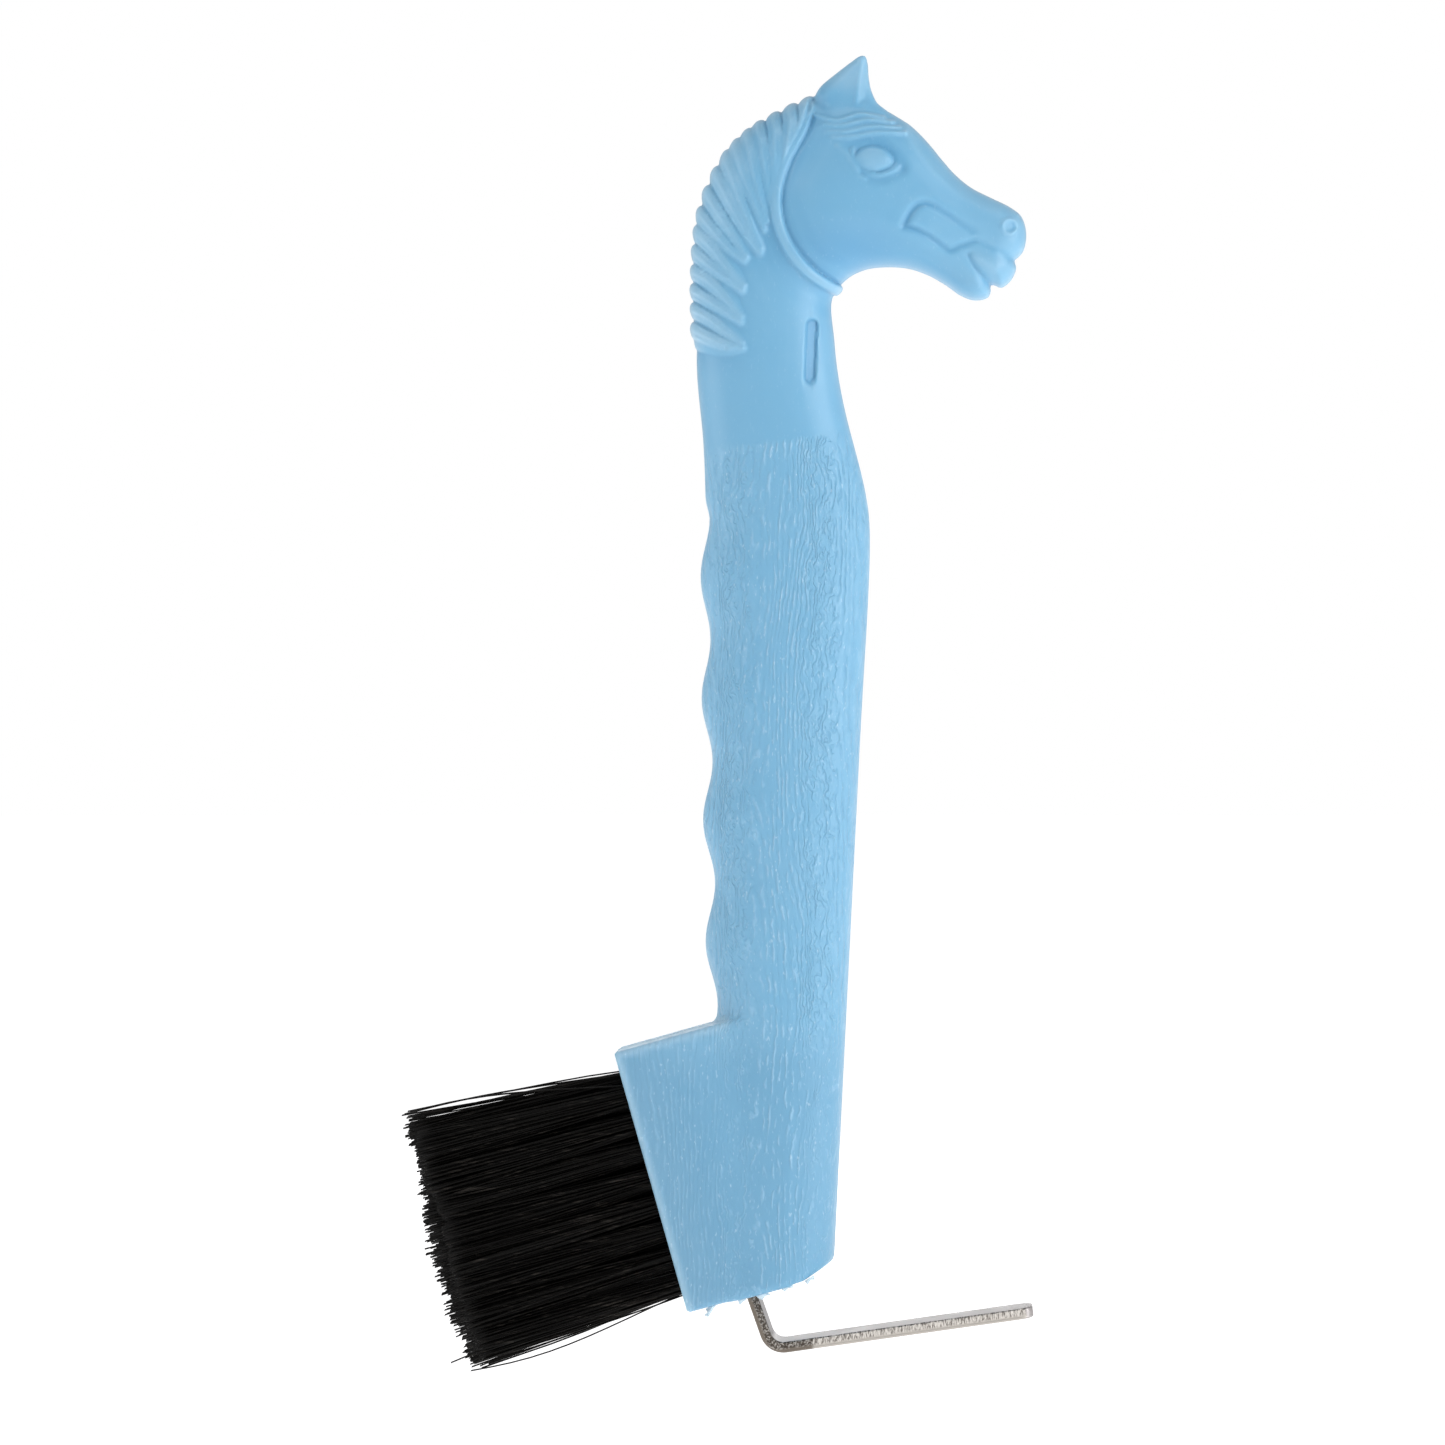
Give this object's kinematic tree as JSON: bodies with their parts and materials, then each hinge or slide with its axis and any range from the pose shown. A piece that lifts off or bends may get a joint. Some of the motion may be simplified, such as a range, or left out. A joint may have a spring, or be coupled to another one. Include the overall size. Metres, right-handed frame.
{
  "type": "hoof pick",
  "caption": "Upright plastic handle shaped as a horse's head and finger grip, with a bent flat steel pick and a black bristle brush on the side of its lower end.",
  "frame": {"origin": "middle of the finger grip, on the handle's plane of symmetry", "axes": "+Z from the pick up to the horse's ears, +X the way the horse looks, the brush faces -X, and Y runs across the handle"},
  "size_m": [0.1054, 0.0192, 0.2189],
  "materials": {
    "handle_plastic": "semi-gloss, slightly translucent light blue with a wood-grain texture on the grip",
    "pick_steel": "nickel-plated, sheared edges with fine vertical marks",
    "bristle_nylon": "black filament with a faint sheen",
    "anchor_wire": "plain drawn flat wire"
  },
  "bodies": {
    "root": {"handle": "handle_plastic", "pick": "pick_steel", "tuft_anchors": "anchor_wire", "tuft_row1_1": "bristle_nylon", "tuft_row1_2": "bristle_nylon", "tuft_row1_3": "bristle_nylon", "tuft_row1_4": "bristle_nylon", "tuft_row1_5": "bristle_nylon", "tuft_row1_6": "bristle_nylon", "tuft_row1_7": "bristle_nylon", "tuft_row1_8": "bristle_nylon", "tuft_row2_1": "bristle_nylon", "tuft_row2_2": "bristle_nylon", "tuft_row2_3": "bristle_nylon", "tuft_row2_4": "bristle_nylon", "tuft_row2_5": "bristle_nylon", "tuft_row2_6": "bristle_nylon", "tuft_row2_7": "bristle_nylon", "tuft_row2_8": "bristle_nylon", "tuft_row3_1": "bristle_nylon", "tuft_row3_2": "bristle_nylon", "tuft_row3_3": "bristle_nylon", "tuft_row3_4": "bristle_nylon", "tuft_row3_5": "bristle_nylon", "tuft_row3_6": "bristle_nylon", "tuft_row3_7": "bristle_nylon", "tuft_row3_8": "bristle_nylon"}
  },
  "joints": []
}
